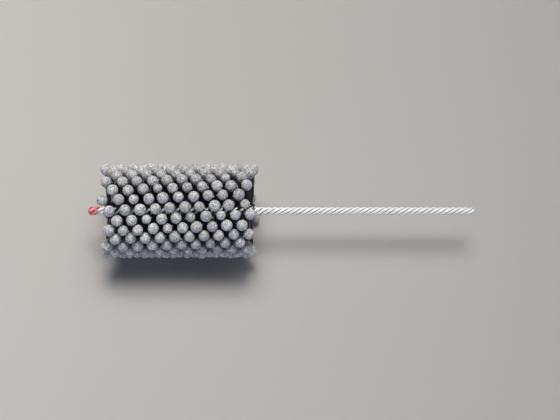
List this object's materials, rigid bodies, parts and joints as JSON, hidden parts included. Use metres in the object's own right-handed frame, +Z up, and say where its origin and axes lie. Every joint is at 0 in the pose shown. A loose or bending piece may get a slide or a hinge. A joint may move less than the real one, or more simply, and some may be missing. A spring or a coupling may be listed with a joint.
{
  "type": "flexible ball hone",
  "caption": "Flexible honing brush: a twisted wire stem grips nylon filaments that carry small round abrasive balls in staggered helical rows, with a dipped tip.",
  "frame": {"origin": "centre of the stem's cut drive end, on the stem's axis", "axes": "+X along the stem from the honing head to the drive end, +Z up, -Y towards the side that the picture shows"},
  "size_m": [0.203, 0.0503, 0.0502],
  "materials": {
    "galvanised_wire": "drawn, zinc coated",
    "nylon": "extruded filament",
    "abrasive": "granular, resin bonded",
    "red_plastic": "dipped"
  },
  "bodies": {
    "stem": {"stem_wire_1": "galvanised_wire", "stem_wire_2": "galvanised_wire", "stem_wire_3": "galvanised_wire", "stem_wire_4": "galvanised_wire", "filament_core": "nylon", "tip_dip": "red_plastic"},
    "row_01": {"filament_row_01": "nylon", "ball_row_01": "abrasive"},
    "row_02": {"filament_row_02": "nylon", "ball_row_02": "abrasive"},
    "row_03": {"filament_row_03": "nylon", "ball_row_03": "abrasive"},
    "row_04": {"filament_row_04": "nylon", "ball_row_04": "abrasive"},
    "row_05": {"filament_row_05": "nylon", "ball_row_05": "abrasive"},
    "row_06": {"filament_row_06": "nylon", "ball_row_06": "abrasive"},
    "row_07": {"filament_row_07": "nylon", "ball_row_07": "abrasive"},
    "row_08": {"filament_row_08": "nylon", "ball_row_08": "abrasive"},
    "row_09": {"filament_row_09": "nylon", "ball_row_09": "abrasive"},
    "row_10": {"filament_row_10": "nylon", "ball_row_10": "abrasive"},
    "row_11": {"filament_row_11": "nylon", "ball_row_11": "abrasive"},
    "row_12": {"filament_row_12": "nylon", "ball_row_12": "abrasive"},
    "row_13": {"filament_row_13": "nylon", "ball_row_13": "abrasive"},
    "row_14": {"filament_row_14": "nylon", "ball_row_14": "abrasive"},
    "row_15": {"filament_row_15": "nylon", "ball_row_15": "abrasive"},
    "row_16": {"filament_row_16": "nylon", "ball_row_16": "abrasive"},
    "row_17": {"filament_row_17": "nylon", "ball_row_17": "abrasive"},
    "row_18": {"filament_row_18": "nylon", "ball_row_18": "abrasive"},
    "row_19": {"filament_row_19": "nylon", "ball_row_19": "abrasive"},
    "row_20": {"filament_row_20": "nylon", "ball_row_20": "abrasive"},
    "row_21": {"filament_row_21": "nylon", "ball_row_21": "abrasive"},
    "row_22": {"filament_row_22": "nylon", "ball_row_22": "abrasive"},
    "row_23": {"filament_row_23": "nylon", "ball_row_23": "abrasive"},
    "row_24": {"filament_row_24": "nylon", "ball_row_24": "abrasive"},
    "row_25": {"filament_row_25": "nylon", "ball_row_25": "abrasive"},
    "row_26": {"filament_row_26": "nylon", "ball_row_26": "abrasive"}
  },
  "joints": [
    {"name": "flex_01", "type": "hinge", "parent": "stem", "child": "row_01", "pos_m": [-0.15734, 0.00523, 0.00003], "axis": [0.9999, 0.0001, -0.0123], "range_deg": [-45, 45], "stiffness_Nm_per_rad": 0.05},
    {"name": "flex_02", "type": "hinge", "parent": "stem", "child": "row_02", "pos_m": [-0.15415, 0.00508, 0.00125], "axis": [0.9999, 0.0029, -0.0119], "range_deg": [-45, 45], "stiffness_Nm_per_rad": 0.05},
    {"name": "flex_03", "type": "hinge", "parent": "stem", "child": "row_03", "pos_m": [-0.15473, 0.00463, 0.00243], "axis": [0.9999, 0.0057, -0.0109], "range_deg": [-45, 45], "stiffness_Nm_per_rad": 0.05},
    {"name": "flex_04", "type": "hinge", "parent": "stem", "child": "row_04", "pos_m": [-0.15531, 0.00391, 0.00348], "axis": [0.9999, 0.0081, -0.0092], "range_deg": [-45, 45], "stiffness_Nm_per_rad": 0.05},
    {"name": "flex_05", "type": "hinge", "parent": "stem", "child": "row_05", "pos_m": [-0.15212, 0.003, 0.00429], "axis": [0.9999, 0.0101, -0.007], "range_deg": [-45, 45], "stiffness_Nm_per_rad": 0.05},
    {"name": "flex_06", "type": "hinge", "parent": "stem", "child": "row_06", "pos_m": [-0.15647, 0.00183, 0.0049], "axis": [0.9999, 0.0115, -0.0043], "range_deg": [-45, 45], "stiffness_Nm_per_rad": 0.05},
    {"name": "flex_07", "type": "hinge", "parent": "stem", "child": "row_07", "pos_m": [-0.15328, 0.00065, 0.00519], "axis": [0.9999, 0.0122, -0.0015], "range_deg": [-45, 45], "stiffness_Nm_per_rad": 0.05},
    {"name": "flex_08", "type": "hinge", "parent": "stem", "child": "row_08", "pos_m": [-0.15763, -0.00067, 0.00519], "axis": [0.9999, 0.0122, 0.0016], "range_deg": [-45, 45], "stiffness_Nm_per_rad": 0.05},
    {"name": "flex_09", "type": "hinge", "parent": "stem", "child": "row_09", "pos_m": [-0.15444, -0.00185, 0.00489], "axis": [0.9999, 0.0115, 0.0043], "range_deg": [-45, 45], "stiffness_Nm_per_rad": 0.05},
    {"name": "flex_10", "type": "hinge", "parent": "stem", "child": "row_10", "pos_m": [-0.15125, -0.00294, 0.00433], "axis": [0.9999, 0.0101, 0.0069], "range_deg": [-45, 45], "stiffness_Nm_per_rad": 0.05},
    {"name": "flex_11", "type": "hinge", "parent": "stem", "child": "row_11", "pos_m": [-0.1556, -0.00393, 0.00346], "axis": [0.9999, 0.0081, 0.0092], "range_deg": [-45, 45], "stiffness_Nm_per_rad": 0.05},
    {"name": "flex_12", "type": "hinge", "parent": "stem", "child": "row_12", "pos_m": [-0.15241, -0.00462, 0.00246], "axis": [0.9999, 0.0058, 0.0108], "range_deg": [-45, 45], "stiffness_Nm_per_rad": 0.05},
    {"name": "flex_13", "type": "hinge", "parent": "stem", "child": "row_13", "pos_m": [-0.15676, -0.00509, 0.00123], "axis": [0.9999, 0.0029, 0.0119], "range_deg": [-45, 45], "stiffness_Nm_per_rad": 0.05},
    {"name": "flex_14", "type": "hinge", "parent": "stem", "child": "row_14", "pos_m": [-0.15357, -0.00523, 0.00001], "axis": [0.9999, 0, 0.0123], "range_deg": [-45, 45], "stiffness_Nm_per_rad": 0.05},
    {"name": "flex_15", "type": "hinge", "parent": "stem", "child": "row_15", "pos_m": [-0.15792, -0.00507, -0.00129], "axis": [0.9999, -0.003, 0.0119], "range_deg": [-45, 45], "stiffness_Nm_per_rad": 0.05},
    {"name": "flex_16", "type": "hinge", "parent": "stem", "child": "row_16", "pos_m": [-0.15473, -0.00463, -0.00243], "axis": [0.9999, -0.0057, 0.0109], "range_deg": [-45, 45], "stiffness_Nm_per_rad": 0.05},
    {"name": "flex_17", "type": "hinge", "parent": "stem", "child": "row_17", "pos_m": [-0.15154, -0.00394, -0.00344], "axis": [0.9999, -0.0081, 0.0092], "range_deg": [-45, 45], "stiffness_Nm_per_rad": 0.05},
    {"name": "flex_18", "type": "hinge", "parent": "stem", "child": "row_18", "pos_m": [-0.15589, -0.00296, -0.00432], "axis": [0.9999, -0.0101, 0.0069], "range_deg": [-45, 45], "stiffness_Nm_per_rad": 0.05},
    {"name": "flex_19", "type": "hinge", "parent": "stem", "child": "row_19", "pos_m": [-0.1527, -0.00188, -0.00489], "axis": [0.9999, -0.0114, 0.0044], "range_deg": [-45, 45], "stiffness_Nm_per_rad": 0.05},
    {"name": "flex_20", "type": "hinge", "parent": "stem", "child": "row_20", "pos_m": [-0.15705, -0.0006, -0.0052], "axis": [0.9999, -0.0122, 0.0014], "range_deg": [-45, 45], "stiffness_Nm_per_rad": 0.05},
    {"name": "flex_21", "type": "hinge", "parent": "stem", "child": "row_21", "pos_m": [-0.15386, 0.00062, -0.0052], "axis": [0.9999, -0.0122, -0.0015], "range_deg": [-45, 45], "stiffness_Nm_per_rad": 0.05},
    {"name": "flex_22", "type": "hinge", "parent": "stem", "child": "row_22", "pos_m": [-0.15444, 0.00185, -0.00489], "axis": [0.9999, -0.0115, -0.0043], "range_deg": [-45, 45], "stiffness_Nm_per_rad": 0.05},
    {"name": "flex_23", "type": "hinge", "parent": "stem", "child": "row_23", "pos_m": [-0.15502, 0.00298, -0.0043], "axis": [0.9999, -0.0101, -0.007], "range_deg": [-45, 45], "stiffness_Nm_per_rad": 0.05},
    {"name": "flex_24", "type": "hinge", "parent": "stem", "child": "row_24", "pos_m": [-0.15183, 0.00389, -0.0035], "axis": [0.9999, -0.0082, -0.0091], "range_deg": [-45, 45], "stiffness_Nm_per_rad": 0.05},
    {"name": "flex_25", "type": "hinge", "parent": "stem", "child": "row_25", "pos_m": [-0.15618, 0.00464, -0.00242], "axis": [0.9999, -0.0057, -0.0109], "range_deg": [-45, 45], "stiffness_Nm_per_rad": 0.05},
    {"name": "flex_26", "type": "hinge", "parent": "stem", "child": "row_26", "pos_m": [-0.15299, 0.00508, -0.00127], "axis": [0.9999, -0.003, -0.0119], "range_deg": [-45, 45], "stiffness_Nm_per_rad": 0.05}
  ],
  "couplings": [
    {"joint": "flex_02", "follows": "flex_01", "ratio": 1},
    {"joint": "flex_03", "follows": "flex_01", "ratio": 1},
    {"joint": "flex_04", "follows": "flex_01", "ratio": 1},
    {"joint": "flex_05", "follows": "flex_01", "ratio": 1},
    {"joint": "flex_06", "follows": "flex_01", "ratio": 1},
    {"joint": "flex_07", "follows": "flex_01", "ratio": 1},
    {"joint": "flex_08", "follows": "flex_01", "ratio": 1},
    {"joint": "flex_09", "follows": "flex_01", "ratio": 1},
    {"joint": "flex_10", "follows": "flex_01", "ratio": 1},
    {"joint": "flex_11", "follows": "flex_01", "ratio": 1},
    {"joint": "flex_12", "follows": "flex_01", "ratio": 1},
    {"joint": "flex_13", "follows": "flex_01", "ratio": 1},
    {"joint": "flex_14", "follows": "flex_01", "ratio": 1},
    {"joint": "flex_15", "follows": "flex_01", "ratio": 1},
    {"joint": "flex_16", "follows": "flex_01", "ratio": 1},
    {"joint": "flex_17", "follows": "flex_01", "ratio": 1},
    {"joint": "flex_18", "follows": "flex_01", "ratio": 1},
    {"joint": "flex_19", "follows": "flex_01", "ratio": 1},
    {"joint": "flex_20", "follows": "flex_01", "ratio": 1},
    {"joint": "flex_21", "follows": "flex_01", "ratio": 1},
    {"joint": "flex_22", "follows": "flex_01", "ratio": 1},
    {"joint": "flex_23", "follows": "flex_01", "ratio": 1},
    {"joint": "flex_24", "follows": "flex_01", "ratio": 1},
    {"joint": "flex_25", "follows": "flex_01", "ratio": 1},
    {"joint": "flex_26", "follows": "flex_01", "ratio": 1}
  ]
}
